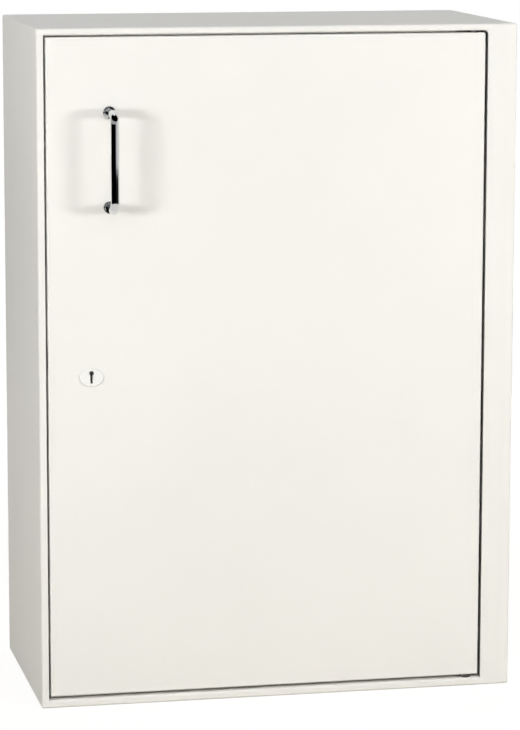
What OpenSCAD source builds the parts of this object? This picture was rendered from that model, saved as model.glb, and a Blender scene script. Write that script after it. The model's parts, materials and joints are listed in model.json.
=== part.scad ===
// Lockable medicine cabinet: folded sheet-steel casing, inset double-skinned door on two
// concealed pivots, bow handle, and a lever lock behind an oval escutcheon.
// Millimetres. The origin is the centre of the base, the front faces -Y, the wall is at +Y.

/* [Casing] */
// Width of the casing
casing_w = 500; // [360:10:800]
// Height of the casing
casing_h = 700; // [560:10:1100]
// Depth of the casing
casing_d = 250; // [180:5:400]
// Thickness of the casing's sheet
casing_sheet = 1.5; // [1:0.1:2]
// Inside radius of every fold
fold_r = 0.8; // [0.4:0.1:1.2]
// Depth of the back panel's folded edge
back_edge = 12; // [8:1:25]
// Diameter of the four wall-fixing holes
wall_hole_d = 8; // [5:0.5:12]
// Distance between the wall-fixing holes across the width
wall_hole_pitch_x = 400; // [200:10:420]
// Distance between the wall-fixing holes up the height
wall_hole_pitch_z = 600; // [300:10:640]

/* [Front frame] */
// Width of the frame beside the door's lock edge
frame_lock = 7.5; // [6.5:0.5:14]
// Height of the frame above the door
frame_top = 7; // [7:0.5:20]
// Height of the frame below the door
frame_bottom = 8.4; // [8:0.2:20]
// Width of the stile beside the door's hinge edge
frame_hinge = 30.8; // [26:0.2:60]
// Gap at the door's lock edge
gap_lock = 2.4; // [1:0.1:2.5]
// Gap above the door
gap_top = 2; // [1:0.1:2.5]
// Gap below the door
gap_bottom = 3.6; // [1.8:0.1:4]
// Gap at the door's hinge edge
gap_hinge = 2.8; // [2:0.1:3.5]
// Width of the folded lip that the door closes against
stop_lip = 12; // [9:1:20]
// Distance from the back of the closed door to the lip
stop_gap = 2; // [1:0.5:4]
// Distance from the opening's ends to the rubber buffers
buffer_inset = 60; // [40:5:120]

/* [Door] */
// Thickness of the door
door_t = 20; // [18:1:28]
// Thickness of the door's sheets
door_sheet = 1.2; // [0.8:0.1:1.5]
// Corner radius of the door
door_corner_r = 0.8; // [0.5:0.1:1.5]
// Radius of the door's upper corner at the hinge
hinge_corner_r = 2.5; // [1.5:0.5:5]
// Depth of the lining's folded edge
lining_edge = 7; // [4:0.5:7.5]
// Fit of the lining inside the outer tray
lining_fit = 0.1; // [0.05:0.05:0.3]
// Width of the stiffener's crown
stiffener_crown = 40; // [20:2:80]
// Width of each of the stiffener's feet
stiffener_foot = 12; // [8:1:20]

/* [Hinge] */
// Distance from the door's hinge edge to the pivot axis
hinge_inset = 12; // [10:0.5:13]
// Distance from the door's front face to the pivot axis
hinge_setback = 7; // [6.5:0.1:7.5]
// Diameter of the pivot pins
pin_d = 6; // [4:0.5:6.5]
// Running clearance between pin and bush, on the radius
pin_clearance = 0.05; // [0.02:0.01:0.1]
// Wall of the nylon bushes
bush_wall = 1.4; // [1:0.1:1.5]
// Thickness of the bush flange
bush_flange_t = 0.6; // [0.4:0.1:0.8]
// Depth of the pin inside the door
pin_reach = 10; // [6:1:16]
// Thickness of the pivot plates
hinge_plate_t = 3; // [2:0.2:3]
// Distance from the stile's edge to the hinge post behind it
post_setback = 3.4; // [3:0.1:6]
// Depth of the hinge post behind the stile
post_d = 26; // [20:1:40]

/* [Handle] */
// Distance between the handle's feet
handle_centres = 96; // [64:32:224]
// Distance from the door's lock edge to the handle
handle_inset = 64; // [30:0.5:120]
// Distance from the door's upper edge to the middle of the handle
handle_drop = 124; // [90:1:200]
// Diameter of the handle's bar
bar_d = 9; // [7:0.5:12]
// Distance from the door's face to the centre of the bar
bar_reach = 34; // [24:1:45]
// Radius of the bar's bends, on its centre line
bar_bend_r = 9; // [6:0.5:14]
// Diameter of the handle's feet
foot_d = 13.4; // [12.4:0.2:20]
// Thickness of the handle's feet
foot_t = 2.4; // [1.5:0.1:4]
// Diameter of the handle's screws
handle_screw_d = 4; // [3:0.5:5]

/* [Lock] */
// Distance from the door's upper edge to the key's axis
key_drop = 341; // [200:1:420]
// Distance from the door's lock edge to the key's axis
backset = 44; // [42:0.5:60]
// Travel of the bolt
bolt_throw = 7; // [5.8:0.1:7]
// Height of the bolt
bolt_h = 16; // [12:0.5:18]
// Radius that the key's bit sweeps
bit_r = 9.5; // [8.5:0.1:10]
// Diameter of the keyhole's round end
keyhole_d = 4.8; // [4:0.2:5.6]
// Width of the keyhole's slot
keyhole_slot = 2.4; // [2:0.1:3]
// Width of the escutcheon
escutcheon_w = 24; // [22:1:34]
// Height of the escutcheon
escutcheon_h = 19; // [19:0.5:28]
// Thickness of the escutcheon in front of the door
escutcheon_t = 2.6; // [1.4:0.1:3.5]
// Thickness of the lock case's sheet
case_sheet = 1.2; // [1:0.1:1.5]
// Thickness of each lever
lever_t = 2; // [1.5:0.1:2]
// Running clearance of the lock's moving parts
lock_play = 0.3; // [0.2:0.05:0.3]

/* [Shelves] */
// Number of shelves
shelf_count = 3; // [1:1:4]
// Height of the lowest slot in the shelf strips
slot_z0 = 40; // [30:1:60]
// Distance between the slots
slot_pitch = 25; // [15:1:50]
// Number of slots below the lowest shelf
first_slot = 5; // [2:1:6]
// Number of slots from one shelf to the next
slots_per_shelf = 7; // [3:1:7]
// Thickness of the shelf sheet
shelf_sheet = 1; // [0.8:0.1:1.5]
// Depth of the shelf's folded edge
shelf_edge = 18; // [12:1:30]
// Play at each end of a shelf
shelf_play = 1.5; // [0.5:0.5:3]
// Distance from the stop lip to the shelves
shelf_front_gap = 10; // [8:1:40]
// Distance from the shelves to the back panel
shelf_back_gap = 3; // [1:1:20]
// Width of the shelf strips
strip_w = 20; // [16:1:30]
// Depth of the shelf strips
strip_d = 6; // [5:0.5:10]

/* [Hidden] */
$fn = 48;
fold_steps = 4;
overrun = 1;

// Casing
front_y = -casing_d / 2;
back_y = casing_d / 2;
inner_x = casing_w / 2 - casing_sheet;
fold_outer = fold_r + casing_sheet;
lip_y = front_y + door_t + stop_gap;
opening_x0 = -casing_w / 2 + frame_lock;
opening_x1 = casing_w / 2 - frame_hinge;
opening_z0 = frame_bottom;
opening_z1 = casing_h - frame_top;

// Door
door_x0 = opening_x0 + gap_lock;
door_x1 = opening_x1 - gap_hinge;
door_z0 = opening_z0 + gap_bottom;
door_z1 = opening_z1 - gap_top;
door_w = door_x1 - door_x0;
door_h = door_z1 - door_z0;
door_back_y = front_y + door_t;
skin_y = front_y + door_sheet;
lining_y = door_back_y - door_sheet;
lining_offset = door_sheet + lining_fit;

// Hinge
hinge_x = door_x1 - hinge_inset;
hinge_y = front_y + hinge_setback;
pin_r = pin_d / 2;
bush_bore_r = pin_r + pin_clearance;
bush_r = bush_bore_r + bush_wall;
bush_flange_r = bush_r + 1.2;
pin_chamfer = 0.8;
post_x = opening_x1 + post_setback;
post_y = front_y + post_d;
plate_w = 32;
press_gap = 0.02;
// A stop lip ends where the inner corner of the opening door would reach it
sweep_r = norm([hinge_inset, door_t - hinge_setback]);
lip_reach = door_t + stop_gap - hinge_setback;
sweep_half = sqrt(max(0, pow(sweep_r, 2) - pow(lip_reach, 2)));
lip_x1 = hinge_x - sweep_half - 4;

// Handle
handle_x = door_x0 + handle_inset;
handle_z = door_z1 - handle_drop;
bar_r = bar_d / 2;
bar_y = front_y - bar_reach;
foot_y = front_y - foot_t;
handle_screw_r = handle_screw_d / 2;
screw_hole_r = handle_screw_r + 0.1;
handle_plate_t = 2;
handle_plate_y = skin_y + handle_plate_t;
screw_head_r = handle_screw_r + 1.6;
screw_head_t = 2.4;
handle_screw_depth = 10;

// Lock
key_x = door_x0 + backset;
key_z = door_z1 - key_drop;
// The oval is centred below the key's axis, on the middle of the keyhole
oval_z = key_z - 4.3;
boss_inset_x = 3.5;
boss_inset_z = 1.8;
case_x0 = door_x0 + lining_offset + door_sheet + lining_fit;
case_x1 = key_x + bit_r + 9.5;
lever_count = 2;
tail_t = 3;
layer_gap = 0.25;
layer_y0 = skin_y + case_sheet + lock_play;
lever_y0 = layer_y0 + tail_t + layer_gap;
lever_pitch = lever_t + layer_gap;
case_y1 = lever_y0 + lever_count * lever_pitch + lock_play;
cap_t = 1.5;
bolt_end_gap = 0.3;
bolt_z0 = key_z + bit_r - 3;
bolt_z1 = bolt_z0 + bolt_h;
bolt_z = (bolt_z0 + bolt_z1) / 2;
case_z0 = key_z - bit_r - 6.5;
case_z1 = bolt_z1 + 10.5;
stump_x = key_x + 8;
stump_s = 3;
pivot_x = key_x - 25.5;
pivot_r = 2.5;
pivot_play = 0.05;
lever_boss_r = pivot_r + 3;
bolt_head_x = pivot_x - lever_boss_r - 1.4;
lever_h = 15;
gate_play = 0.3;
pocket_w = stump_s + 1.2;
pocket_up = 6;
pocket_down = 3.3;
lever_end_x = stump_x + pocket_w / 2 + 2.4;
pillar_r = 2.6;
pillar_inset = case_sheet + pillar_r - 0.5;
lock_screw_r = 1.2;
bolt_tail_x1 = stump_x + stump_s / 2 + 1.5;
notch_w = 9.5;
notch_h = 3.6;
cover_margin = 9;
cover_t = 1;
cover_screw_r = 1.4;
cover_corner_r = 4;
cover_x0 = case_x0 + 12;
cover_x1 = case_x1 + cover_margin;
cover_z0 = case_z0 - cover_margin;
cover_z1 = case_z1 + cover_margin;
cover_screw_inset = 4.5;

// Rubber buffers
lip_back_y = lip_y + casing_sheet;
buffer_stem_r = 2;
buffer_head_r = 4;
buffer_grip = 0.6;

// Shelves
shelf_y0 = lip_back_y + shelf_front_gap;
shelf_y1 = back_y - casing_sheet - shelf_back_gap;
shelf_half = inner_x - strip_d - shelf_play;
strip_sheet = 1.2;
strip_z0 = casing_sheet + 8;
strip_z1 = casing_h - casing_sheet - 8;
strip_y_front = shelf_y0 + 28;
strip_y_back = shelf_y1 - 28;
slot_w = 10;
slot_h = 3;
slot_count = floor((strip_z1 - slot_z0 - slot_pitch / 2) / slot_pitch);
clip_sheet = 1.6;
clip_w = 14;
clip_ledge = 9;
clip_plate_h = 12;
slot_play = 0.3;

// ---- Folded sheet ----

function unit(v) = v / norm(v);
function left_of(u) = [-u.y, u.x];
function cross_2d(u, v) = u.x * v.y - u.y * v.x;
function heading(path, i) = unit(path[i + 1] - path[i]);

// Points of one rounded corner of a folded sheet: side 0 is the drawn line, side 1 lies one
// sheet thickness to its left, and both share the centre of the fold
function fold_points(corner, u, v, t, r, side) =
    let (
        s = sign(cross_2d(u, v)),
        line_r = s > 0 ? r + t : r,
        arc_r = side == 0 ? line_r : (s > 0 ? r : r + t),
        angle = acos(u * v),
        centre = corner - u * line_r * tan(angle / 2) + s * line_r * left_of(u),
        start = atan2(-s * left_of(u).y, -s * left_of(u).x)
    )
    [for (k = [0:fold_steps]) let (a = start + s * angle * k / fold_steps)
        centre + arc_r * [cos(a), sin(a)]];

function fold_side(path, t, r, side) = let (last = len(path) - 1) [
    path[0] + side * t * left_of(heading(path, 0)),
    for (i = [1:last - 1])
        each fold_points(path[i], heading(path, i - 1), heading(path, i), t, r, side),
    path[last] + side * t * left_of(heading(path, last - 1))
];

function reversed(list) = [for (i = [len(list) - 1:-1:0]) list[i]];

// Section of a sheet of thickness t folded along a path, with the sheet on the path's left
module folded_section(path, t) {
    polygon(concat(fold_side(path, t, fold_r, 0), reversed(fold_side(path, t, fold_r, 1))));
}

// ---- Placing of flat outlines ----

// An XY outline becomes a solid from z0 to z1
module between_z(z0, z1) {
    translate([0, 0, z0])
        linear_extrude(z1 - z0)
            children();
}

// A YZ outline becomes a solid from x0 to x1
module between_x(x0, x1) {
    translate([x0, 0, 0])
        rotate([90, 0, 90])
            linear_extrude(x1 - x0)
                children();
}

// An XZ outline becomes a solid from y0 to y1
module between_y(y0, y1) {
    translate([0, y1, 0])
        rotate([90, 0, 0])
            linear_extrude(y1 - y0)
                children();
}

module rod_y(x, z, r, y0, y1) {
    between_y(y0, y1)
        translate([x, z])
            circle(r);
}

module box(low, high) {
    translate(low)
        cube(high - low);
}

function corner_arc(centre, r, start) = [
    for (k = [0:fold_steps]) let (a = start + 90 * k / fold_steps)
        centre + r * [cos(a), sin(a)]
];

// Rectangle from the origin with radii in the order low left, low right, high right, high left
module rounded_rect(w, h, radii) {
    polygon(concat(
        corner_arc([radii[0], radii[0]], radii[0], 180),
        corner_arc([w - radii[1], radii[1]], radii[1], 270),
        corner_arc([w - radii[2], h - radii[2]], radii[2], 0),
        corner_arc([radii[3], h - radii[3]], radii[3], 90)));
}

// Block whose face lies at z = 0, with that face's edges rounded by edge_r
module soft_block(w, h, d, edge_r, radii) {
    tiny = 0.01;
    face_radii = [edge_r, edge_r, tiny, tiny];
    intersection() {
        linear_extrude(d)
            rounded_rect(w, h, radii);
        translate([0, -overrun, 0])
            rotate([90, 0, 0])
                mirror([0, 0, 1])
                    linear_extrude(h + 2 * overrun)
                        rounded_rect(w, d, face_radii);
        between_x(-overrun, w + overrun)
            rounded_rect(h, d, face_radii);
    }
}

// Shallow tray folded from one sheet: its face lies at z = 0 and its edges rise to z = d
module tray(w, h, d, t, radii) {
    inner_radii = [for (r = radii) max(0.1, r - t)];
    difference() {
        soft_block(w, h, d, fold_r + t, radii);
        translate([t, t, t])
            soft_block(w - 2 * t, h - 2 * t, d, fold_r, inner_radii);
    }
}

// Local x, y, z become X, Z, +Y: a face that looks to the front
module face_front() {
    mirror([0, 1, 0])
        rotate([90, 0, 0])
            children();
}

// Local x, y, z become X, Z, -Y: a face that looks to the back
module face_back() {
    rotate([90, 0, 0])
        children();
}

// ---- Casing ----

// The casing's outline, which rounds its front and the edges between sides, top and bottom
module casing_outline() {
    translate([-casing_w / 2, front_y])
        face_front()
            soft_block(casing_w, casing_h, casing_d + overrun, fold_outer,
                [for (k = [1:4]) fold_outer]);
}

module left_side_panel() {
    path = [[-casing_w / 2, back_y], [-casing_w / 2, front_y], [opening_x0, front_y],
        [opening_x0, lip_y], [opening_x0 + stop_lip, lip_y]];
    flat = [path[0], path[1], path[2]];
    color("whitesmoke")
        difference() {
            intersection() {
                union() {
                    between_z(0, casing_h)
                        folded_section(flat, casing_sheet);
                    between_z(opening_z0, opening_z1)
                        folded_section(path, casing_sheet);
                }
                casing_outline();
            }
            bolt_slot(opening_x0 - casing_sheet, opening_x0);
            for (z = buffer_heights())
                rod_y(buffer_x(), z, buffer_stem_r, lip_y - overrun, lip_back_y + overrun);
        }
}

module right_side_panel() {
    path = [[opening_x1, front_y], [casing_w / 2, front_y], [casing_w / 2, back_y]];
    corner_r = hinge_corner_r + gap_top;
    color("whitesmoke")
        intersection() {
            union() {
                between_z(0, casing_h)
                    folded_section(path, casing_sheet);
                between_y(front_y, front_y + casing_sheet)
                    translate([opening_x1 - corner_r, opening_z1 - corner_r])
                        difference() {
                            square(corner_r);
                            circle(corner_r);
                        }
            }
            casing_outline();
        }
}

// Half of the top or bottom panel's section, from the back to the stop lip
function level_path(outer_z, opening_z, lip_z) = [[back_y, outer_z], [front_y, outer_z],
    [front_y, opening_z], [lip_y, opening_z], [lip_y, lip_z]];

function first_points(list, count) = [for (i = [0:count - 1]) list[i]];

module level_panel(path, sheet_z, fold) {
    intersection() {
        union() {
            box([-inner_x, front_y + fold_outer, sheet_z],
                [inner_x, back_y, sheet_z + casing_sheet]);
            box([fold_r - inner_x, front_y + casing_sheet, sheet_z],
                [inner_x - fold_r, front_y + fold_outer, sheet_z + casing_sheet]);
            between_x(opening_x0, opening_x1)
                folded_section(fold ? reversed(first_points(path, 4)) : first_points(path, 4),
                    casing_sheet);
            between_x(opening_x0 + stop_lip, lip_x1)
                folded_section(fold ? reversed(path) : path, casing_sheet);
        }
        casing_outline();
    }
}

module top_panel() {
    path = level_path(casing_h, opening_z1, opening_z1 - stop_lip);
    color("whitesmoke")
        difference() {
            level_panel(path, casing_h - casing_sheet, false);
            pin_hole(opening_z1 - overrun, opening_z1 + casing_sheet + overrun);
        }
}

module bottom_panel() {
    path = level_path(0, opening_z0, opening_z0 + stop_lip);
    color("whitesmoke")
        difference() {
            level_panel(path, 0, true);
            pin_hole(opening_z0 - casing_sheet - overrun, opening_z0 + overrun);
        }
}

module back_panel() {
    w = 2 * inner_x;
    h = casing_h - 2 * casing_sheet;
    color("gainsboro")
        difference() {
            translate([-inner_x, back_y, casing_sheet])
                face_back()
                    tray(w, h, back_edge, casing_sheet, [for (k = [1:4]) fold_outer]);
            for (x = [-1, 1], z = [-1, 1])
                rod_y(x * wall_hole_pitch_x / 2, casing_h / 2 + z * wall_hole_pitch_z / 2,
                    wall_hole_d / 2, back_y - 2 * casing_sheet, back_y + overrun);
        }
}

// Channel behind the stile, closed by the side wall into a stiff box
module hinge_post() {
    front_leg_y = front_y + casing_sheet;
    path = [[inner_x, post_y], [post_x, post_y], [post_x, front_leg_y],
        [inner_x - fold_outer, front_leg_y]];
    color("gainsboro")
        between_z(casing_sheet, casing_h - casing_sheet)
            folded_section(path, casing_sheet);
}

// ---- Hinge ----

module pin_hole(z0, z1) {
    between_z(z0, z1)
        translate([hinge_x, hinge_y])
            circle(pin_r + press_gap);
}

module hinge_plate(z0) {
    color("silver")
        difference() {
            box([post_x - plate_w, front_y + fold_outer, z0],
                [post_x, lip_y - fold_outer, z0 + hinge_plate_t]);
            pin_hole(z0 - overrun, z0 + hinge_plate_t + overrun);
        }
}

module upper_hinge_plate() {
    hinge_plate(opening_z1 + casing_sheet);
}

module lower_hinge_plate() {
    hinge_plate(opening_z0 - casing_sheet - hinge_plate_t);
}

// Round pin with a chamfered tip
module hinge_pin(length) {
    color("silver")
        rotate_extrude()
            polygon([[0, 0], [pin_r, 0], [pin_r, length - pin_chamfer],
                [pin_r - pin_chamfer, length], [0, length]]);
}

module lower_hinge_pin() {
    z0 = opening_z0 - casing_sheet - hinge_plate_t;
    translate([hinge_x, hinge_y, z0])
        hinge_pin(door_z0 + door_sheet + pin_reach - z0);
}

module upper_hinge_pin() {
    z1 = opening_z1 + casing_sheet + hinge_plate_t;
    translate([hinge_x, hinge_y, z1])
        mirror([0, 0, 1])
            hinge_pin(z1 - door_z1 + door_sheet + pin_reach);
}

module hinge_washer() {
    color("silver")
        between_z(opening_z0, door_z0 - bush_flange_t)
            translate([hinge_x, hinge_y])
                difference() {
                    circle(bush_flange_r);
                    circle(bush_bore_r);
                }
}

// Flanged nylon bush, with its flange at z = 0 outside the door and its barrel above it
module hinge_bush() {
    barrel = bush_flange_t + door_sheet + pin_reach + 1;
    color("ivory")
        difference() {
            union() {
                cylinder(h = bush_flange_t, r = bush_flange_r);
                cylinder(h = barrel, r = bush_r);
            }
            translate([0, 0, -overrun])
                cylinder(h = barrel + 2 * overrun, r = bush_bore_r);
        }
}

module lower_hinge_bush() {
    translate([hinge_x, hinge_y, door_z0 - bush_flange_t])
        hinge_bush();
}

module upper_hinge_bush() {
    translate([hinge_x, hinge_y, door_z1 + bush_flange_t])
        mirror([0, 0, 1])
            hinge_bush();
}

// ---- Door ----

module bush_hole() {
    between_z(door_z0 - overrun, door_z1 + overrun)
        translate([hinge_x, hinge_y])
            circle(bush_r + press_gap);
}

function handle_feet() = [handle_z - handle_centres / 2, handle_z + handle_centres / 2];

module door_skin() {
    radii = [door_corner_r, door_corner_r, hinge_corner_r, door_corner_r];
    color("whitesmoke")
        difference() {
            translate([door_x0, front_y, door_z0])
                face_front()
                    tray(door_w, door_h, door_t, door_sheet, radii);
            bush_hole();
            bolt_slot(door_x0, door_x0 + door_sheet);
            escutcheon_boss(front_y - overrun, skin_y + overrun, 0.2);
            for (z = handle_feet())
                rod_y(handle_x, z, screw_hole_r, front_y - overrun, skin_y + overrun);
        }
}

module door_lining() {
    corner_r = hinge_corner_r;
    color("whitesmoke")
        difference() {
            translate([door_x0 + lining_offset, door_back_y, door_z0 + lining_offset])
                face_back()
                    tray(door_w - 2 * lining_offset, door_h - 2 * lining_offset, lining_edge,
                        door_sheet, [corner_r, corner_r, corner_r, corner_r]);
            box([cover_x0 + cover_margin, lining_y - overrun, cover_z0 + cover_margin],
                [cover_x1 - cover_margin, door_back_y + overrun, cover_z1 - cover_margin]);
            cover_screw_holes(lining_y - overrun, door_back_y + overrun);
        }
}

// Hat section between the two sheets of the door
module door_stiffener() {
    x1 = (door_x0 + door_x1 + stiffener_crown) / 2;
    x0 = x1 - stiffener_crown;
    crown_y = skin_y + door_sheet;
    path = [[x1 + stiffener_foot, lining_y], [x1, lining_y], [x1, crown_y], [x0, crown_y],
        [x0, lining_y], [x0 - stiffener_foot, lining_y]];
    color("gainsboro")
        between_z(door_z0 + 30, door_z1 - 30)
            folded_section(path, door_sheet);
}

function buffer_x() = opening_x0 + stop_lip / 2;
function buffer_heights() = [opening_z0 + buffer_inset, opening_z1 - buffer_inset];

// Rubber buffers in the stop lip, which the closed door rests against
module door_buffers() {
    color("dimgray")
        for (z = buffer_heights()) {
            rod_y(buffer_x(), z, buffer_head_r, door_back_y, lip_y);
            rod_y(buffer_x(), z, buffer_stem_r, lip_y, lip_back_y);
            rod_y(buffer_x(), z, buffer_stem_r + buffer_grip, lip_back_y, lip_back_y + 2);
        }
}

// ---- Handle ----

module bow_bend(start) {
    rotate([0, 90, 0])
        rotate([0, 0, start])
            rotate_extrude(angle = 90)
                translate([bar_bend_r, 0])
                    circle(bar_r);
}

module handle_bow() {
    low = handle_feet()[0];
    high = handle_feet()[1];
    bend_y = bar_y + bar_bend_r;
    color("silver")
        difference() {
            union() {
                for (z = handle_feet())
                    rod_y(handle_x, z, bar_r, bend_y, foot_y);
                translate([handle_x, bend_y, high - bar_bend_r])
                    bow_bend(180);
                translate([handle_x, bend_y, low + bar_bend_r])
                    bow_bend(270);
                translate([handle_x, bar_y, low + bar_bend_r])
                    cylinder(h = handle_centres - 2 * bar_bend_r, r = bar_r);
            }
            for (z = handle_feet())
                rod_y(handle_x, z, handle_screw_r + 0.05, foot_y - handle_screw_depth - overrun,
                    foot_y + overrun);
        }
}

// Round foot with a chamfered rim, seated on the door
module handle_foot(z) {
    rim = 0.7;
    color("silver")
        translate([handle_x, front_y, z])
            rotate([90, 0, 0])
                rotate_extrude()
                    polygon([[screw_hole_r, 0], [foot_d / 2, 0], [foot_d / 2, foot_t - rim],
                        [foot_d / 2 - rim, foot_t], [screw_hole_r, foot_t]]);
}

module handle_foot_upper() {
    handle_foot(handle_feet()[1]);
}

module handle_foot_lower() {
    handle_foot(handle_feet()[0]);
}

// Plate inside the door that spreads the pull of the handle
module handle_plate() {
    half_w = 10;
    margin = 14;
    color("gainsboro")
        difference() {
            box([handle_x - half_w, skin_y, handle_feet()[0] - margin],
                [handle_x + half_w, handle_plate_y, handle_feet()[1] + margin]);
            for (z = handle_feet())
                rod_y(handle_x, z, screw_hole_r, skin_y - overrun, handle_plate_y + overrun);
        }
}

module handle_screws() {
    color("silver")
        for (z = handle_feet()) {
            rod_y(handle_x, z, handle_screw_r, foot_y - handle_screw_depth, handle_plate_y);
            rod_y(handle_x, z, screw_head_r, handle_plate_y, handle_plate_y + screw_head_t);
        }
}

// ---- Escutcheon ----

// Ellipse of width w and height h
module oval(w, h) {
    steps = 48;
    polygon([for (k = [0:steps - 1]) let (a = 360 * k / steps)
        [w / 2 * cos(a), h / 2 * sin(a)]]);
}

module keyhole(grow) {
    translate([key_x, key_z]) {
        circle(keyhole_d / 2 + grow);
        translate([-keyhole_slot / 2 - grow, -bit_r - 1 - grow])
            square([keyhole_slot + 2 * grow, bit_r + 1 + grow]);
    }
}

module escutcheon_boss(y0, y1, grow) {
    between_y(y0, y1)
        translate([key_x, oval_z])
            oval(escutcheon_w + 2 * (grow - boss_inset_x),
                escutcheon_h + 2 * (grow - boss_inset_z));
}

module lock_escutcheon() {
    rim_t = escutcheon_t * 0.45;
    dome_t = escutcheon_t - rim_t;
    color("white")
        difference() {
            union() {
                between_y(front_y - rim_t, front_y)
                    translate([key_x, oval_z])
                        oval(escutcheon_w, escutcheon_h);
                translate([key_x, front_y - rim_t, oval_z])
                    rotate([90, 0, 0])
                        linear_extrude(height = dome_t, scale = 0.8)
                            oval(escutcheon_w, escutcheon_h);
                escutcheon_boss(front_y, skin_y, 0);
            }
            between_y(front_y - escutcheon_t - overrun, skin_y + overrun)
                keyhole(0);
        }
}

// ---- Lever lock ----

module bolt_slot(x0, x1) {
    box([x0 - overrun, layer_y0 - lock_play, bolt_z0 - lock_play],
        [x1 + overrun, case_y1 - lock_play + 0.2, bolt_z1 + lock_play]);
}

function pillar_places() = [
    for (x = [case_x0 + pillar_inset, case_x1 - pillar_inset],
        z = [case_z0 + pillar_inset, case_z1 - pillar_inset]) [x, z]
];

module lock_case() {
    color("silver")
        difference() {
            union() {
                difference() {
                    box([case_x0, skin_y, case_z0], [case_x1, case_y1, case_z1]);
                    box([case_x0 + case_sheet, skin_y + case_sheet, case_z0 + case_sheet],
                        [case_x1 - case_sheet, case_y1 + overrun, case_z1 - case_sheet]);
                }
                for (p = pillar_places())
                    rod_y(p.x, p.y, pillar_r, skin_y, case_y1);
            }
            bolt_slot(case_x0, case_x0 + case_sheet);
            between_y(skin_y - overrun, skin_y + case_sheet + overrun)
                keyhole(0.2);
            lock_screw_holes(case_y1);
        }
}

module lock_screw_holes(y1) {
    for (p = pillar_places())
        rod_y(p.x, p.y, lock_screw_r + 0.05, skin_y + case_sheet, y1 + overrun);
}

module lock_cap() {
    color("silver")
        difference() {
            box([case_x0, case_y1, case_z0], [case_x1, case_y1 + cap_t, case_z1]);
            lock_screw_holes(case_y1 + cap_t);
        }
}

module lock_screws() {
    head_t = 1.2;
    color("silver")
        for (p = pillar_places()) {
            rod_y(p.x, p.y, lock_screw_r, skin_y + case_sheet + 0.5, case_y1 + cap_t);
            rod_y(p.x, p.y, lock_screw_r + 1.1, case_y1 + cap_t, case_y1 + cap_t + head_t);
        }
}

module lever_pivot() {
    color("gold")
        rod_y(pivot_x, bolt_z, pivot_r, skin_y + case_sheet, case_y1);
}

// Bolt with its head in the case's slot, a tail that slides over the pivot, the notch that the
// key turns in, and the stump that the levers hold
module lock_bolt() {
    head_y1 = case_y1 - lock_play;
    slot_r = pivot_r + 0.15;
    color("gold")
        difference() {
            union() {
                box([door_x0 + bolt_end_gap, layer_y0, bolt_z0], [bolt_head_x, head_y1, bolt_z1]);
                box([bolt_head_x, layer_y0, bolt_z0],
                    [bolt_tail_x1, layer_y0 + tail_t, bolt_z1]);
                box([stump_x - stump_s / 2, layer_y0, bolt_z - stump_s / 2],
                    [stump_x + stump_s / 2, head_y1, bolt_z + stump_s / 2]);
            }
            box([pivot_x, layer_y0 - overrun, bolt_z - slot_r],
                [pivot_x + bolt_throw, layer_y0 + tail_t + overrun, bolt_z + slot_r]);
            for (x = [pivot_x, pivot_x + bolt_throw])
                rod_y(x, bolt_z, slot_r, layer_y0 - overrun, layer_y0 + tail_t + overrun);
            box([key_x + (bolt_throw - notch_w) / 2, layer_y0 - overrun, bolt_z0 - overrun],
                [key_x + (bolt_throw + notch_w) / 2, layer_y0 + tail_t + overrun,
                    bolt_z0 + notch_h]);
        }
}

// Lever, drawn as the key lifts it: its gate is in line with the stump, between the pockets
// that hold the stump when the bolt is in and when it is out
module lever_outline() {
    gate_half = stump_s / 2 + gate_play;
    difference() {
        union() {
            translate([pivot_x, bolt_z])
                circle(lever_boss_r);
            translate([pivot_x, bolt_z - lever_h / 2 + 0.5])
                square([lever_end_x - pivot_x, lever_h + 1.5]);
        }
        translate([pivot_x, bolt_z])
            circle(pivot_r + pivot_play);
        translate([key_x, key_z])
            circle(bit_r + 0.2);
        for (x = [stump_x, stump_x - bolt_throw])
            translate([x - pocket_w / 2, bolt_z - pocket_down])
                square([pocket_w, pocket_down + pocket_up]);
        translate([stump_x - bolt_throw, bolt_z - gate_half])
            square([bolt_throw, 2 * gate_half]);
    }
}

module lock_lever(layer) {
    y0 = lever_y0 + layer * lever_pitch;
    color("goldenrod")
        between_y(y0, y0 + lever_t)
            lever_outline();
}

module lock_lever_front() {
    lock_lever(0);
}

module lock_lever_rear() {
    lock_lever(1);
}

// Removable cover over the lock, on the inside of the door
function cover_screw_places() = [
    for (x = [cover_x0 + cover_screw_inset, cover_x1 - cover_screw_inset],
        z = [cover_z0 + cover_screw_inset, cover_z1 - cover_screw_inset]) [x, z]
];

module cover_screw_holes(y0, y1) {
    for (p = cover_screw_places())
        rod_y(p.x, p.y, cover_screw_r + 0.05, y0, y1);
}

module lock_cover() {
    color("whitesmoke")
        difference() {
            between_y(door_back_y, door_back_y + cover_t)
                translate([cover_x0, cover_z0])
                    rounded_rect(cover_x1 - cover_x0, cover_z1 - cover_z0,
                        [for (k = [1:4]) cover_corner_r]);
            cover_screw_holes(door_back_y - overrun, door_back_y + cover_t + overrun);
        }
}

module cover_screws() {
    head_t = 0.9;
    color("silver")
        for (p = cover_screw_places()) {
            rod_y(p.x, p.y, cover_screw_r, lining_y - 2, door_back_y + cover_t);
            rod_y(p.x, p.y, cover_screw_r + 1.2, door_back_y + cover_t,
                door_back_y + cover_t + head_t);
        }
}

// ---- Shelves ----

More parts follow.
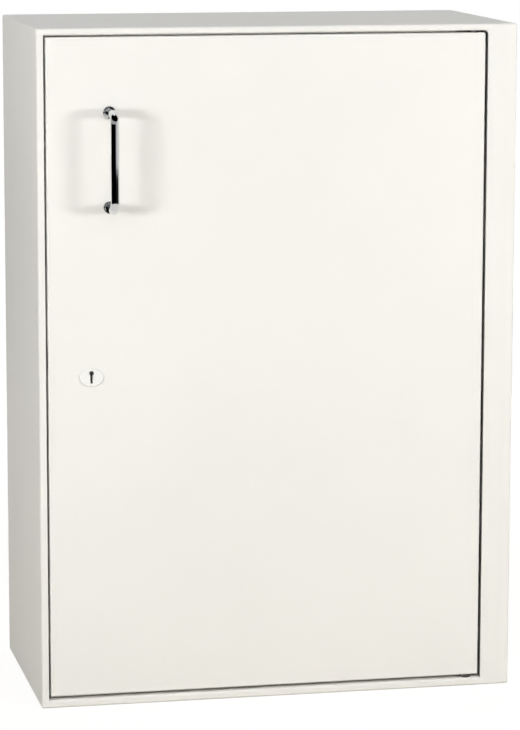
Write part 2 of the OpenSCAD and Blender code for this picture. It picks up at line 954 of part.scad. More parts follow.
// Slotted channel on a side wall: side is -1 on the left and 1 on the right
module shelf_strip(side, y) {
    wall = inner_x;
    web = inner_x - strip_d;
    path = [[-wall, y - strip_w / 2], [-web, y - strip_w / 2], [-web, y + strip_w / 2],
        [-wall, y + strip_w / 2]];
    color("gainsboro")
        mirror([side > 0 ? 1 : 0, 0, 0])
            difference() {
                between_z(strip_z0, strip_z1)
                    folded_section(path, strip_sheet);
                for (k = [0:slot_count])
                    box([-web - strip_sheet - overrun, y - slot_w / 2,
                            slot_z0 + k * slot_pitch - slot_h / 2],
                        [-web + overrun, y + slot_w / 2, slot_z0 + k * slot_pitch + slot_h / 2]);
            }
}

module shelf_strip_front_left() {
    shelf_strip(-1, strip_y_front);
}

module shelf_strip_back_left() {
    shelf_strip(-1, strip_y_back);
}

module shelf_strip_front_right() {
    shelf_strip(1, strip_y_front);
}

module shelf_strip_back_right() {
    shelf_strip(1, strip_y_back);
}

function clip_z(shelf) = slot_z0 + (first_slot + shelf * slots_per_shelf) * slot_pitch;

// Folded clip with its tongue in a slot of the strip and a ledge under the shelf
module shelf_clip(side, y, z) {
    face = shelf_half + shelf_play;
    tongue_h = slot_h - 2 * slot_play;
    tongue_w = slot_w - 2 * slot_play;
    mirror([side > 0 ? 1 : 0, 0, 0]) {
        box([-face - strip_sheet - 2.5, y - tongue_w / 2, z - tongue_h / 2],
            [-face, y + tongue_w / 2, z + tongue_h / 2]);
        box([-face, y - clip_w / 2, z + tongue_h / 2 - clip_plate_h],
            [-face + clip_sheet, y + clip_w / 2, z + tongue_h / 2]);
        box([-face, y - clip_w / 2, z + tongue_h / 2 - clip_sheet],
            [-face + clip_ledge, y + clip_w / 2, z + tongue_h / 2]);
    }
}

module shelf_clips() {
    color("silver")
        for (shelf = [0:shelf_count - 1], side = [-1, 1], y = [strip_y_front, strip_y_back])
            shelf_clip(side, y, clip_z(shelf));
}

// Shelf folded down on all four sides, resting on its clips
module shelf(index) {
    top = clip_z(index) + slot_h / 2 - slot_play + shelf_edge;
    color("whitesmoke")
        if (index < shelf_count)
            translate([-shelf_half, shelf_y0, top])
                mirror([0, 0, 1])
                    tray(2 * shelf_half, shelf_y1 - shelf_y0, shelf_edge, shelf_sheet,
                        [for (k = [1:4]) fold_r + shelf_sheet]);
}

module shelf_lower() {
    shelf(0);
}

module shelf_middle() {
    shelf(1);
}

module shelf_upper() {
    shelf(2);
}

left_side_panel();
right_side_panel();
top_panel();
bottom_panel();
back_panel();
hinge_post();
upper_hinge_plate();
lower_hinge_plate();
upper_hinge_pin();
lower_hinge_pin();
hinge_washer();
shelf_strip_front_left();
shelf_strip_back_left();
shelf_strip_front_right();
shelf_strip_back_right();
shelf_clips();
shelf_lower();
shelf_middle();
shelf_upper();
door_buffers();
door_skin();
door_lining();
door_stiffener();
upper_hinge_bush();
lower_hinge_bush();
handle_bow();
handle_foot_upper();
handle_foot_lower();
handle_plate();
handle_screws();
lock_escutcheon();
lock_case();
lock_cap();
lever_pivot();
lock_screws();
lock_cover();
cover_screws();
lock_bolt();
lock_lever_front();
lock_lever_rear();
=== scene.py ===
"""Looks of a lockable medicine cabinet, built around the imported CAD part.

Most pieces are copies of the CAD nodes with their doubles merged and their edges softened, as
powder coat or deburring softens them. The handle's bow and feet are modelled here, and the
escutcheon's copy gets a fuller rim. Lengths are in metres: the front faces -Y and the base
stands on Z = 0.
"""

import json
import math

import bmesh
import bpy
from bpy.props import FloatProperty, FloatVectorProperty, IntProperty, PointerProperty
from mathutils import Matrix, Vector

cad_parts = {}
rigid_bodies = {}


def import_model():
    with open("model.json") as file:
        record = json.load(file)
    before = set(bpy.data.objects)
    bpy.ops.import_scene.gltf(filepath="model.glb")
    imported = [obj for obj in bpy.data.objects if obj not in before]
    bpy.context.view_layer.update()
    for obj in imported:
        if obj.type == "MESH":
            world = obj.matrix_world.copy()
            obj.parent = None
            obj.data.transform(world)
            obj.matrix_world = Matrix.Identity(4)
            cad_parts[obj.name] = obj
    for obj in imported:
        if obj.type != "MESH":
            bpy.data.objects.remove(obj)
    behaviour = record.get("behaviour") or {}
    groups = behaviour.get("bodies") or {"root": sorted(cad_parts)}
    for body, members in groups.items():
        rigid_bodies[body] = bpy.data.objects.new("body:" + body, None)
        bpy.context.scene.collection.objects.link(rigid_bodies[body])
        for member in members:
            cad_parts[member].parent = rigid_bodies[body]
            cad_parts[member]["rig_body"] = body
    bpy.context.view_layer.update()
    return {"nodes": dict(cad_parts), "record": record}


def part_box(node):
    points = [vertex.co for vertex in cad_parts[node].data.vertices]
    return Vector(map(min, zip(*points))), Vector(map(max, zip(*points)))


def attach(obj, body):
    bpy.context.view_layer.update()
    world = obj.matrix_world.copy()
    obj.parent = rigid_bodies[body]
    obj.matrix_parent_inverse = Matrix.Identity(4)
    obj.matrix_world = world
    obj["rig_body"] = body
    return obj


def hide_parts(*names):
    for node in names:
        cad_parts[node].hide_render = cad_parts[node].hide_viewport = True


bl_info = {
    "name": "Lockable medicine cabinet",
    "version": (1, 0, 0),
    "blender": (4, 5, 0),
    "location": "3D View > Sidebar > Cabinet",
    "description": "Finishes a steel medicine cabinet with an inset door and a lever lock",
    "category": "Object",
}

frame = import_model()
NODES = frame["nodes"]
NODE_SLOTS = {row["node"]: row["material_slot"] for row in frame["record"]["subparts"]}
MM = 0.001
DOUBLES = 0.002 * MM
FLAT_WITHIN = math.radians(0.4)
SHARP_FROM = math.radians(32)
WHITE = (1, 1, 1, 1)
ROOM_LIGHT = (1, 0.99, 0.97, 1)
# Colour of the painted shade on the walls deep inside the keyhole.
KEYHOLE_PAINTED_SHADE = (0.03, 0.03, 0.03, 1)


def middle(node):
    """Centre of a CAD node's box."""
    low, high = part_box(node)
    return (low + high) / 2


def span(node):
    """Size of a CAD node's box."""
    low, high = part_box(node)
    return high - low


# ---- Finishes ----


class Signal:
    """A socket of a finish. Arithmetic on it adds Math nodes."""

    def __init__(self, finish, socket):
        self.finish = finish
        self.socket = socket

    def _math(self, operation, first, second):
        return self.finish.node(
            "ShaderNodeMath", {"operation": operation}, {0: first, 1: second}
        )

    def __add__(self, other):
        return self._math("ADD", self, other)

    def __rsub__(self, other):
        return self._math("SUBTRACT", other, self)

    def __mul__(self, other):
        return self._math("MULTIPLY", self, other)

    __radd__ = __add__
    __rmul__ = __mul__


class Finish:
    """The nodes of a material, or of the world, under construction."""

    def __init__(self, name, world=None):
        self.material = world or bpy.data.materials.new(name)
        self.material.use_nodes = True
        self.tree = self.material.node_tree
        self.tree.nodes.clear()

    def node(self, kind, settings=None, sockets=None, output=0):
        """Adds a node of that kind: first its settings, then its sockets' values or links."""
        made = self.tree.nodes.new(kind)
        for name, value in (settings or {}).items():
            if name == "stops":
                self.set_stops(made.color_ramp, value)
            else:
                setattr(made, name, value)
        for key, value in (sockets or {}).items():
            if isinstance(value, Signal):
                self.tree.links.new(value.socket, made.inputs[key])
            else:
                made.inputs[key].default_value = value
        return Signal(self, made.outputs[output]) if made.outputs else None

    @staticmethod
    def set_stops(ramp, stops):
        """Gives the two ends of a grey ramp their places and levels."""
        for element, (place, level) in zip(ramp.elements, stops):
            element.position = place
            element.color = (level, level, level, 1)

    def place(self, scale=(1, 1, 1)):
        """Object coordinates, in metres, stretched by scale."""
        where = self.node("ShaderNodeTexCoord", output="Object")
        return self.node("ShaderNodeMapping", {}, {"Vector": where, "Scale": scale})

    def along(self, axis):
        """The X, Y or Z of the object coordinates, in metres."""
        where = self.node("ShaderNodeTexCoord", output="Object")
        return self.node("ShaderNodeSeparateXYZ", {}, {0: where}, axis)

    def noise(self, scale, detail, roughness, stretch=(1, 1, 1)):
        return self.node(
            "ShaderNodeTexNoise",
            {},
            {
                "Vector": self.place(stretch),
                "Scale": scale,
                "Detail": detail,
                "Roughness": roughness,
            },
        )

    def ramp(self, signal, *stops):
        return self.node("ShaderNodeValToRGB", {"stops": stops}, {"Fac": signal})

    def blend(self, factor, first, second):
        """Mixes two colours."""
        return self.node(
            "ShaderNodeMix",
            {"data_type": "RGBA"},
            {0: factor, 6: first, 7: second},
            output=2,
        )

    def bump(self, height, distance):
        return self.node(
            "ShaderNodeBump",
            {},
            {"Height": height, "Distance": distance, "Strength": 1.0},
        )

    def surface(self, **sockets):
        """Ends the finish with a Principled shader."""
        named = {
            "IOR" if key == "ior" else key.replace("_", " ").title(): value
            for key, value in sockets.items()
        }
        shader = self.node("ShaderNodeBsdfPrincipled", {}, named)
        self.node("ShaderNodeOutputMaterial", {}, {"Surface": shader})
        return self.material


def rgba(colour, gain):
    """A colour made darker or lighter by gain, with its alpha."""
    return (*(min(1.0, c * gain) for c in colour), 1.0)


def paint(name):
    """Powder coat: orange peel, a slow drift of tone, and a gloss that varies a little."""
    settings = bpy.context.scene.cabinet_paint
    colour = getattr(settings, PAINT_COLOURS[name])
    f = Finish(name)
    peel = f.noise(420, 3, 0.45)
    grain = f.noise(1900, 2, 0.6)
    cloud = f.noise(5, 4, 0.6)
    tone = f.ramp(cloud, (0.3, 0.0), (0.7, 1.0))
    return f.surface(
        base_color=f.blend(tone, rgba(colour, 0.985), rgba(colour, 1.012)),
        roughness=settings.gloss + 0.08 * cloud + 0.05 * peel,
        normal=f.bump(peel + 0.35 * grain, settings.peel_depth),
        ior=1.5,
    )


def zinc_plated():
    """Bright zinc: faint crystal patches and rolling lines."""
    f = Finish("zinc_plated")
    patches = f.node(
        "ShaderNodeTexVoronoi", {}, {"Vector": f.place(), "Scale": 260}, output="Color"
    )
    lines = f.noise(160, 3, 0.6, (1, 1, 14))
    tone = 0.5 * f.ramp(patches, (0.2, 0.0), (0.9, 1.0)) + 0.5 * lines
    return f.surface(
        base_color=f.blend(tone, (0.52, 0.53, 0.55, 1), (0.7, 0.71, 0.72, 1)),
        metallic=1.0,
        roughness=0.26 + 0.16 * tone,
        normal=f.bump(lines, 0.02 * MM),
    )


def chrome():
    """Polished chrome with the faintest handling marks."""
    f = Finish("chrome")
    haze = f.noise(90, 4, 0.6)
    scuffs = f.noise(700, 2, 0.6, (1, 1, 0.12))
    marks = f.ramp(scuffs, (0.62, 0.0), (0.8, 1.0))
    return f.surface(
        base_color=f.blend(haze, (0.72, 0.73, 0.75, 1), (0.8, 0.81, 0.82, 1)),
        metallic=1.0,
        roughness=0.035 + 0.03 * haze + 0.06 * marks,
        normal=f.bump(haze, 0.01 * MM),
    )


def white_plastic():
    """Moulded plastic with a fine spark-eroded grain, and painted shade that darkens the walls
    deep inside the keyhole.
    """
    f = Finish("white_plastic")
    grain = f.noise(2600, 3, 0.6)
    cloud = f.noise(60, 2, 0.5)
    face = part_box("lock_escutcheon")[0].y
    # Painted shade: behind the face, the keyhole's walls darken towards black with depth,
    # standing in for the shadow inside the hole.
    shade_starts, shade_ends, hole_half = face + 0.8 * MM, face + 2.6 * MM, 3.2 * MM
    inside = f.node(
        "ShaderNodeMapRange",
        {},
        {"Value": f.along("Y"), "From Min": shade_starts, "From Max": shade_ends},
    )
    near = f.node(
        "ShaderNodeMath",
        {"operation": "COMPARE"},
        {0: f.along("X"), 1: middle("lock_escutcheon").x, 2: hole_half},
    )
    white = f.blend(cloud, (0.84, 0.84, 0.82, 1), (0.89, 0.89, 0.87, 1))
    return f.surface(
        base_color=f.blend(inside * near, white, KEYHOLE_PAINTED_SHADE),
        roughness=0.3 + 0.1 * grain,
        normal=f.bump(grain, 0.02 * MM),
        ior=1.49,
    )


def nylon():
    """Black nylon, dull where the mould was sparked."""
    f = Finish("nylon")
    grain = f.noise(1500, 3, 0.6)
    return f.surface(
        base_color=f.blend(grain, (0.035, 0.034, 0.033, 1), (0.07, 0.068, 0.066, 1)),
        roughness=0.42 + 0.16 * grain,
        normal=f.bump(grain, 0.02 * MM),
    )


def brass():
    """Milled brass with its cutter lines and a little tarnish."""
    f = Finish("brass")
    lines = f.noise(300, 3, 0.6, (10, 1, 1))
    tarnish = f.noise(120, 4, 0.6)
    return f.surface(
        base_color=f.blend(tarnish, (0.58, 0.41, 0.17, 1), (0.8, 0.62, 0.31, 1)),
        metallic=1.0,
        roughness=0.24 + 0.2 * lines,
        normal=f.bump(lines, 0.03 * MM),
    )


def bolt_steel():
    """Nickel-plated steel with grinding lines."""
    f = Finish("bolt_steel")
    lines = f.noise(350, 3, 0.6, (1, 1, 12))
    return f.surface(
        base_color=f.blend(lines, (0.55, 0.53, 0.5, 1), (0.72, 0.7, 0.66, 1)),
        metallic=1.0,
        roughness=0.22 + 0.2 * lines,
        normal=f.bump(lines, 0.02 * MM),
    )


def rubber():
    """Black rubber with a matt grain."""
    f = Finish("rubber")
    grain = f.noise(1800, 4, 0.7)
    return f.surface(
        base_color=f.blend(grain, (0.02, 0.02, 0.021, 1), (0.045, 0.045, 0.047, 1)),
        roughness=0.7 + 0.2 * grain,
        normal=f.bump(grain, 0.05 * MM),
    )


PAINT_COLOURS = {
    "casing_paint": "casing_colour",
    "casing_inner_paint": "inner_colour",
    "door_paint": "door_colour",
    "lining_paint": "inner_colour",
    "shelf_paint": "inner_colour",
}
OTHER_FINISHES = {
    made.__name__: made
    for made in (zinc_plated, chrome, white_plastic, nylon, brass, bolt_steel, rubber)
}
FINISHES = {}


def finish(name):
    """The finish of a material slot, made once."""
    if name not in FINISHES:
        FINISHES[name] = paint(name) if name in PAINT_COLOURS else OTHER_FINISHES[name]()
    return FINISHES[name]


# ---- Making of pieces ----


def new_object(name, shape, material):
    """Puts a bmesh in the scene as an object with one material."""
    mesh = bpy.data.meshes.new(name)
    shape.to_mesh(mesh)
    shape.free()
    made = bpy.data.objects.new(name, mesh)
    bpy.context.scene.collection.objects.link(made)
    mesh.materials.append(material)
    return made


def new_piece(name, shape, node):
    """A shown piece in its CAD node's place, with the node's body and material slot."""
    body, slot = NODES[node]["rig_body"], NODE_SLOTS[node]
    piece = new_object(name, shape, finish(slot))
    piece.data.shade_smooth()
    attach(piece, body)
    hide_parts(node)
    return piece


def merged_copy(node):
    """The CAD node's mesh as a bmesh with shared vertices and whole flat faces."""
    copy = bmesh.new()
    copy.from_mesh(NODES[node].data)
    bmesh.ops.remove_doubles(copy, verts=copy.verts, dist=DOUBLES)
    bmesh.ops.dissolve_limit(
        copy, angle_limit=FLAT_WITHIN, verts=copy.verts, edges=copy.edges
    )
    return copy


def soften(piece, radius, segments=2):
    """Rounds the sharp edges and evens the normals of the flats."""
    edge = piece.modifiers.new("paint_edge", "BEVEL")
    edge.width = radius
    edge.segments = segments
    edge.limit_method = "ANGLE"
    edge.angle_limit = SHARP_FROM
    edge.miter_outer = "MITER_ARC"
    edge.use_clamp_overlap = True
    flats = piece.modifiers.new("even_flats", "WEIGHTED_NORMAL")
    flats.mode = "FACE_AREA"
    flats.weight = 80


def dress(node, radius, ending):
    """Stands a softened copy of a CAD node in the node's place."""
    soften(new_piece(f"{node}_{ending}", merged_copy(node), node), radius)


def ring(mesh, steps, radius, centre, normal):
    """Adds a ring of edges round an axis."""
    turn = Vector((0, 0, 1)).rotation_difference(Vector(normal)).to_matrix().to_4x4()
    bmesh.ops.create_circle(
        mesh,
        segments=steps,
        radius=radius,
        matrix=Matrix.Translation(centre) @ turn,
    )


def push(mesh, edges, vector):
    """Extrudes a loop of edges along a vector and returns the new loop."""
    made = bmesh.ops.extrude_edge_only(mesh, edges=edges)["geom"]
    ends = [g for g in made if isinstance(g, bmesh.types.BMVert)]
    bmesh.ops.translate(mesh, verts=ends, vec=vector)
    return [
        g for g in made if isinstance(g, bmesh.types.BMEdge) and set(g.verts) <= set(ends)
    ]


def swing(mesh, edges, centre, axis, angle, steps):
    """Spins a loop of edges round an axis and returns the last loop."""
    verts = list(dict.fromkeys(v for e in edges for v in e.verts))
    made = bmesh.ops.spin(
        mesh,
        geom=verts + list(edges),
        cent=centre,
        axis=axis,
        dvec=(0, 0, 0),
        angle=angle,
        steps=steps,
        use_merge=False,
        use_duplicate=False,
    )["geom_last"]
    return [g for g in made if isinstance(g, bmesh.types.BMEdge)]


def turned(mesh, points, centre, axis, steps=64):
    """Turns a profile of (radius, height) points round an axis through centre."""
    axis = Vector(axis).normalized()
    side = axis.orthogonal().normalized()
    verts = [mesh.verts.new(Vector(centre) + side * r + axis * h) for r, h in points]
    edges = [mesh.edges.new(pair) for pair in zip(verts, verts[1:])]
    bmesh.ops.spin(
        mesh,
        geom=verts + edges,
        cent=centre,
        axis=axis,
        dvec=(0, 0, 0),
        angle=math.tau,
        steps=steps,
        use_merge=True,
        use_duplicate=False,
    )
    bmesh.ops.remove_doubles(mesh, verts=mesh.verts, dist=DOUBLES)
    bmesh.ops.recalc_face_normals(mesh, faces=mesh.faces)


# ---- Settings ----


class PaintSettings(bpy.types.PropertyGroup):
    """Colours and gloss of the powder coat."""

    casing_colour: FloatVectorProperty(
        name="Casing",
        description="Colour of the casing",
        subtype="COLOR",
        size=3,
        min=0,
        max=1,
        default=(0.86, 0.85, 0.815),
    )
    door_colour: FloatVectorProperty(
        name="Door",
        description="Colour of the door",
        subtype="COLOR",
        size=3,
        min=0,
        max=1,
        default=(0.87, 0.86, 0.825),
    )
    inner_colour: FloatVectorProperty(
        name="Inside",
        description="Colour of the inside and the shelves",
        subtype="COLOR",
        size=3,
        min=0,
        max=1,
        default=(0.84, 0.835, 0.8),
    )
    gloss: FloatProperty(
        name="Roughness",
        description="Roughness of the powder coat",
        default=0.36,
        min=0.05,
        max=1,
    )
    peel_depth: FloatProperty(
        name="Orange peel",
        description="Depth of the orange peel in the powder coat",
        default=0.035 * MM,
        min=0,
        max=MM,
        unit="LENGTH",
    )


class SheetSettings(bpy.types.PropertyGroup):
    """Softness of the edges."""

    sheet_edge: FloatProperty(
        name="Sheet edge",
        description="Radius of a cut sheet edge under its powder coat",
        default=0.35 * MM,
        min=0,
        max=MM,
        unit="LENGTH",
    )
    metal_edge: FloatProperty(
        name="Metal edge",
        description="Radius of a deburred metal edge",
        default=0.15 * MM,
        min=0,
        max=MM,
        unit="LENGTH",
    )


class HandleSettings(bpy.types.PropertyGroup):
    """Shape of the bow handle."""

    bend: FloatProperty(
        name="Bend",
        description="Radius of the bow's bends on its centre line",
        default=9 * MM,
        min=4 * MM,
        max=20 * MM,
        unit="LENGTH",
    )
    sides: IntProperty(
        name="Sides",
        description="Number of faces round the bar",
        default=56,
        min=12,
        max=96,
    )


class StageSettings(bpy.types.PropertyGroup):
    """Floor, lamps and camera."""

    floor_colour: FloatVectorProperty(
        name="Floor",
        description="Colour that the floor throws back on the cabinet",
        subtype="COLOR",
        size=3,
        min=0,
        max=1,
        default=(0.57, 0.535, 0.465),
    )
    ambient: FloatProperty(
        name="Ambient",
        description="Strength of the world's light on the object",
        default=0.03,
        min=0,
        max=2,
    )
    side_lamps: FloatProperty(
        name="Side lamps",
        description="Power of the two side lamps",
        default=13.0,
        min=0,
        max=500,
        subtype="POWER",
    )
    flank_lamps: FloatProperty(
        name="Flank lamps",
        description="Power of the lamp beside the right side panel. The left one has less",
        default=5,
        min=0,
        max=500,
        subtype="POWER",
    )
    back_lamp: FloatProperty(
        name="Back lamp",
        description="Power of the lamp behind",
        default=42,
        min=0,
        max=500,
        subtype="POWER",
    )
    front_lamp: FloatProperty(
        name="Front lamp",
        description="Power of the large lamp in front",
        default=42,
        min=0,
        max=500,
        subtype="POWER",
    )
    top_lamp: FloatProperty(
        name="Top lamp",
        description="Power of the lamp above",
        default=9,
        min=0,
        max=500,
        subtype="POWER",
    )
    focal_length: FloatProperty(
        name="Focal length",
        description="Focal length of the camera on a 36 mm sensor",
        default=157.8,
        min=20,
        max=400,
        unit="CAMERA",
    )


# ---- Operators ----


class CABINET_OT_casing(bpy.types.Operator):
    """Paint the casing's panels and the hinge post"""

    bl_idname = "cabinet.casing"
    bl_label = "Casing"

    def execute(self, context):
        edge = context.scene.cabinet_sheet.sheet_edge
        for node in (
            "left_side_panel",
            "right_side_panel",
            "top_panel",
            "bottom_panel",
            "back_panel",
            "hinge_post",
        ):
            dress(node, edge, "painted")
        return {"FINISHED"}


class CABINET_OT_hinges(bpy.types.Operator):
    """Finish the concealed pivots"""

    bl_idname = "cabinet.hinges"
    bl_label = "Hinges"

    def execute(self, context):
        edge = context.scene.cabinet_sheet.metal_edge
        for node in (
            "upper_hinge_plate",
            "lower_hinge_plate",
            "upper_hinge_pin",
            "lower_hinge_pin",
            "hinge_washer",
            "upper_hinge_bush",
            "lower_hinge_bush",
        ):
            dress(node, edge, "finished")
        return {"FINISHED"}


class CABINET_OT_shelving(bpy.types.Operator):
    """Finish the shelf strips, clips and shelves"""

    bl_idname = "cabinet.shelving"
    bl_label = "Shelving"

    def execute(self, context):
        sheet = context.scene.cabinet_sheet
        for node in ("shelf_lower", "shelf_middle", "shelf_upper"):
            dress(node, sheet.sheet_edge, "painted")
        for node in (
            "shelf_strip_front_left",
            "shelf_strip_back_left",
            "shelf_strip_front_right",
            "shelf_strip_back_right",
            "shelf_clips",
        ):
            dress(node, sheet.metal_edge, "plated")
        return {"FINISHED"}


class CABINET_OT_door(bpy.types.Operator):
    """Paint the door's two sheets and finish what lies between and behind them"""

    bl_idname = "cabinet.door"
    bl_label = "Door"

    def execute(self, context):
        sheet = context.scene.cabinet_sheet
        dress("door_skin", sheet.sheet_edge, "painted")
        dress("door_lining", sheet.sheet_edge, "painted")
        dress("door_stiffener", sheet.metal_edge, "plated")
        dress("door_buffers", 0.5 * MM, "moulded")
        return {"FINISHED"}


class CABINET_OT_handle(bpy.types.Operator):
    """Model the bow handle and its feet"""

    bl_idname = "cabinet.handle"
    bl_label = "Handle"

    def execute(self, context):
        settings = context.scene.cabinet_handle
        self.bow(settings)
        for node in ("handle_foot_upper", "handle_foot_lower"):
            self.foot(node)
        edge = context.scene.cabinet_sheet.metal_edge
        dress("handle_plate", edge, "plated")
        dress("handle_screws", edge, "plated")
        return {"FINISHED"}

    def bow(self, settings):
        """A bar bent from a ring at the lower foot round to the upper foot."""
        low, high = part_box("handle_bow")
        radius = (high.x - low.x) / 2
        x = (low.x + high.x) / 2
        foot_y, bar_y = high.y, low.y + radius
        bend_y = bar_y + settings.bend
        low_z, high_z = low.z + radius, high.z - radius
        low_bend = (x, bend_y, low_z + settings.bend)
        high_bend = (x, bend_y, high_z - settings.bend)
        quarter, bend_steps = math.pi / 2, 20
        tube = bmesh.new()
        ring(tube, settings.sides, radius, (x, foot_y, low_z), (0, -1, 0))
        loop = push(tube, list(tube.edges), (0, bend_y - foot_y, 0))
        loop = swing(tube, loop, low_bend, (-1, 0, 0), quarter, bend_steps)
        loop = push(tube, loop, (0, 0, high_bend[2] - low_bend[2]))
        loop = swing(tube, loop, high_bend, (-1, 0, 0), quarter, bend_steps)
        push(tube, loop, (0, foot_y - bend_y, 0))
        bmesh.ops.remove_doubles(tube, verts=tube.verts, dist=DOUBLES)
        bmesh.ops.holes_fill(tube, edges=tube.edges)
        bmesh.ops.recalc_face_normals(tube, faces=tube.faces)
        new_piece("handle_bow_polished", tube, "handle_bow")

    def foot(self, node):
        """A turned disc with a rounded shoulder and a small rim against the door."""
        low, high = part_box(node)
        radius, depth = (high.x - low.x) / 2, high.y - low.y
        centre = Vector(((low.x + high.x) / 2, high.y, (low.z + high.z) / 2))
        rim, shoulder, bore = 0.3 * MM, 0.9 * MM, 0.3 * radius
        flat = radius - 1.3 * shoulder
        steps = 8
        profile = [(bore, 0), (radius - rim, 0), (radius, rim)]
        for step in range(steps + 1):
            angle = math.pi / 2 * step / steps
            out = radius - shoulder + shoulder * math.cos(angle)
            up = depth - shoulder + shoulder * math.sin(angle)
            profile.append((out, up))
        profile += [(flat, depth), (bore, depth)]
        disc = bmesh.new()
        turned(disc, profile, centre, (0, -1, 0))
        new_piece(f"{node}_polished", disc, node)


class CABINET_OT_escutcheon(bpy.types.Operator):
    """Finish the oval escutcheon with its keyhole"""

    bl_idname = "cabinet.escutcheon"
    bl_label = "Escutcheon"

    def execute(self, context):
        node = "lock_escutcheon"
        plate = merged_copy(node)
        self.fill_out(plate, node)
        soften(new_piece(f"{node}_moulded", plate, node), 0.3 * MM, 4)
        return {"FINISHED"}

    def fill_out(self, plate, node):
        """Gives the plate a taller rim, a flatter face and a foot set in from the rim."""
        centre, half = middle(node), span(node) / 2
        face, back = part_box(node)[0].y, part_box("door_skin")[0].y
        hair, rim_drop = 0.05 * MM, 0.55 * MM
        wall_from, face_edge_from, inset = 0.95, 0.72, 0.94
        for vert in plate.verts:
            out = vert.co - centre
            ratio = math.hypot(out.x / half.x, out.z / half.z)
            if ratio > wall_from and abs(vert.co.y - back) < hair:
                grow = inset
            elif ratio > wall_from:
                grow = 1
                vert.co.y = face + rim_drop
            elif ratio > face_edge_from and vert.co.y < face + hair:
                grow = inset / ratio
            else:
                continue
            vert.co.x = centre.x + out.x * grow
            vert.co.z = centre.z + out.z * grow


class CABINET_OT_lock(bpy.types.Operator):
    """Finish the lever lock and its cover"""

    bl_idname = "cabinet.lock"
    bl_label = "Lock"

    def execute(self, context):
        sheet = context.scene.cabinet_sheet
        for node in ("lock_case", "lock_cap", "lock_screws", "cover_screws"):
            dress(node, sheet.metal_edge, "plated")
        for node in ("lever_pivot", "lock_bolt", "lock_lever_front", "lock_lever_rear"):
            dress(node, sheet.metal_edge, "milled")
        dress("lock_cover", sheet.sheet_edge, "painted")
        return {"FINISHED"}


# Boards round the handle, which only reflections show: first and last angle in degrees from
# the front towards +X, foot and head, and the glow at the handle's own x and at the far right.
BOARDS = {
    "dark_board": (-110, 16, (0.02, 0.63), 0.0, 0.0),
    "glow_board": (-110, 16, (0.63, 1.6), 0.4, 0.4),
    "upper_dark_board": (-110, 16, (1.6, 9.0), 0.0, 0.0),
    "bright_board": (16, 90, (0.335, 1.3), 0.1, 0.8),
    "dim_board": (16, 90, (0.312, 0.335), 0.02, 0.35),
    "low_dark_board": (16, 90, (0.02, 0.312), 0.0, 0.02),
    "high_dark_board": (16, 100, (1.3, 9.0), 0.0, 0.0),
}
BOARD_REACH = 2.1
# Lamps: place, size, the setting that holds the power, and the share of it.
LAMPS = {
    "left_lamp": ((-1.41, -1.16, 0.67), (0.48, 0.26), "side_lamps", 1),
    "right_lamp": ((1.2, -1.39, 0.69), (0.5, 0.26), "side_lamps", 1),
    "front_lamp": ((-0.2, -2.4, 2.1), (4.4, 1.6), "front_lamp", 1),
    "left_flank_lamp": ((-1.3, 0.35, 1.35), (0.8, 0.5), "flank_lamps", 0.14),
    "right_flank_lamp": ((1.7, 0.6, 0.5), (0.8, 0.6), "flank_lamps", 1),
    "top_lamp": ((0, 0.4, 2.6), (1.8, 1.8), "top_lamp", 1),
    "back_lamp": ((0.6, 2.2, 0.6), (1.6, 1.0), "back_lamp", 1),
}
LAMP_AIM = Vector((0, 0, 0.38))
CAMERA_PLACE = (-0.7001, -3.3014, 0.8953)
CAMERA_TURN_DEG = (80.5136, -0.0953, -12.0617)


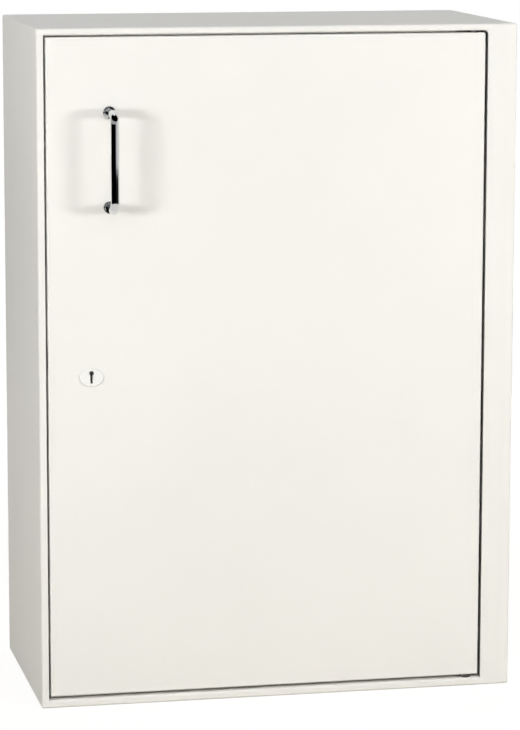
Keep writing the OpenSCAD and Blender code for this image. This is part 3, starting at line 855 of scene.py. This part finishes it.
class CABINET_OT_stage(bpy.types.Operator):
    """Set up the floor, backdrop, lamps and camera"""

    bl_idname = "cabinet.stage"
    bl_label = "Stage"

    def execute(self, context):
        settings = context.scene.cabinet_stage
        self.world(context.scene, settings)
        self.floor(settings)
        for name, row in BOARDS.items():
            self.board(name, *row)
        for name, (place, size, setting, share) in LAMPS.items():
            self.lamp(name, place, size, share * getattr(settings, setting))
        self.camera(context.scene, settings)
        context.scene.view_settings.view_transform = "Standard"
        return {"FINISHED"}

    def seen(self, f, mirrored=1.0):
        """1 for what the camera or a clear piece sees, mirrored for what a reflection sees."""
        camera = f.node("ShaderNodeLightPath", output="Is Camera Ray")
        clear = f.node("ShaderNodeLightPath", output="Is Transmission Ray")
        gloss = f.node("ShaderNodeLightPath", output="Is Glossy Ray")
        return camera + clear + mirrored * gloss

    def world(self, scene, settings):
        """A room that lights the cabinet a little and is seen as white."""
        scene.world = bpy.data.worlds.new("studio")
        f = Finish("studio", scene.world)
        room = f.node(
            "ShaderNodeBackground", {}, {"Color": ROOM_LIGHT, "Strength": settings.ambient}
        )
        white = f.node("ShaderNodeBackground", {}, {"Color": WHITE, "Strength": 1})
        mix = f.node("ShaderNodeMixShader", {}, {0: self.seen(f), 1: room, 2: white})
        f.node("ShaderNodeOutputWorld", {}, {"Surface": mix})

    def floor(self, settings):
        """A floor that keeps the cabinet's shadow and fades to plain white away from it."""
        half_size, drop = 6.0, 0.2 * MM
        fade_from, fade_to = 0.8, 1.9
        near_glow, glow_fade = 1.15, 0.14
        near_share, share_gain, mirrored = 0.8, 0.2, 0.5
        sheet = bmesh.new()
        bmesh.ops.create_grid(sheet, x_segments=1, y_segments=1, size=half_size)
        bmesh.ops.translate(sheet, verts=sheet.verts, vec=(0, 0, -drop))
        f = Finish("floor_white")
        where = f.node("ShaderNodeTexCoord", output="Object")
        reach = f.node("ShaderNodeVectorMath", {"operation": "LENGTH"}, {0: where}, "Value")
        far = f.node(
            "ShaderNodeMapRange",
            {"interpolation_type": "SMOOTHSTEP"},
            {"Value": reach, "From Min": fade_from, "From Max": fade_to},
        )
        lit = f.node("ShaderNodeBsdfDiffuse", {}, {"Color": (*settings.floor_colour, 1)})
        strength = near_glow - glow_fade * far
        glow = f.node("ShaderNodeEmission", {}, {"Color": WHITE, "Strength": strength})
        share = (near_share + share_gain * far) * self.seen(f, mirrored)
        mix = f.node("ShaderNodeMixShader", {}, {0: share, 1: lit, 2: glow})
        f.node("ShaderNodeOutputMaterial", {}, {"Surface": mix})
        new_object("floor", sheet, f.material)

    def board(self, name, first, last, height, low_glow, high_glow):
        """A curved board round the handle that only polished metal sees."""
        x, y = middle("handle_bow").x, middle("handle_bow").y
        board = bmesh.new()
        angle = math.radians(first)
        foot = (x + BOARD_REACH * math.sin(angle), y - BOARD_REACH * math.cos(angle))
        verts = [board.verts.new((*foot, z)) for z in height]
        edge = board.edges.new(verts)
        bmesh.ops.spin(
            board,
            geom=[*verts, edge],
            cent=(x, y, 0),
            axis=(0, 0, 1),
            dvec=(0, 0, 0),
            angle=math.radians(last - first),
            steps=24,
            use_merge=False,
            use_duplicate=False,
        )
        f = Finish(name)
        strength = f.node(
            "ShaderNodeMapRange",
            {},
            {
                "Value": f.along("X"),
                "From Min": x,
                "From Max": x + 0.98 * BOARD_REACH,
                "To Min": low_glow,
                "To Max": high_glow,
            },
        )
        glow = f.node("ShaderNodeEmission", {}, {"Strength": strength})
        f.node("ShaderNodeOutputMaterial", {}, {"Surface": glow})
        piece = new_object(name, board, f.material)
        for ray in ("camera", "diffuse", "shadow", "transmission", "volume_scatter"):
            setattr(piece, f"visible_{ray}", False)

    def lamp(self, name, place, size, power):
        """A soft lamp that points at the cabinet and that nothing mirrors."""
        light = bpy.data.lights.new(name, "AREA")
        light.shape = "RECTANGLE"
        light.size, light.size_y = size
        light.energy = power
        lamp = bpy.data.objects.new(name, light)
        bpy.context.scene.collection.objects.link(lamp)
        lamp.location = place
        lamp.rotation_euler = (LAMP_AIM - Vector(place)).to_track_quat("-Z", "Y").to_euler()
        lamp.visible_camera = False
        lamp.visible_glossy = False

    def camera(self, scene, settings):
        """The camera at the photograph's viewing angle."""
        camera = bpy.data.cameras.new("camera")
        camera.lens = settings.focal_length
        camera.clip_end = 100
        holder = bpy.data.objects.new("camera", camera)
        scene.collection.objects.link(holder)
        holder.location = CAMERA_PLACE
        holder.rotation_euler = [math.radians(angle) for angle in CAMERA_TURN_DEG]
        scene.camera = holder


class CABINET_PT_panel(bpy.types.Panel):
    """Settings and steps in the sidebar"""

    bl_label = "Cabinet"
    bl_space_type = "VIEW_3D"
    bl_region_type = "UI"
    bl_category = "Cabinet"

    def draw(self, context):
        layout = self.layout
        for holder in SETTINGS:
            box = layout.box()
            group = getattr(context.scene, holder)
            for name in group.__annotations__:
                box.prop(group, name)
        for step in STEPS:
            layout.operator(step.bl_idname)


SETTINGS = {
    "cabinet_paint": PaintSettings,
    "cabinet_sheet": SheetSettings,
    "cabinet_handle": HandleSettings,
    "cabinet_stage": StageSettings,
}
STEPS = (
    CABINET_OT_casing,
    CABINET_OT_hinges,
    CABINET_OT_shelving,
    CABINET_OT_door,
    CABINET_OT_handle,
    CABINET_OT_escutcheon,
    CABINET_OT_lock,
    CABINET_OT_stage,
)


def register():
    for made in (*SETTINGS.values(), *STEPS, CABINET_PT_panel):
        bpy.utils.register_class(made)
    for holder, group in SETTINGS.items():
        setattr(bpy.types.Scene, holder, PointerProperty(type=group))


def unregister():
    for holder in SETTINGS:
        delattr(bpy.types.Scene, holder)
    for made in reversed((*SETTINGS.values(), *STEPS, CABINET_PT_panel)):
        bpy.utils.unregister_class(made)


def main():
    register()
    for step in STEPS:
        group, name = step.bl_idname.split(".")
        getattr(getattr(bpy.ops, group), name)()


if __name__ == "__main__":
    main()
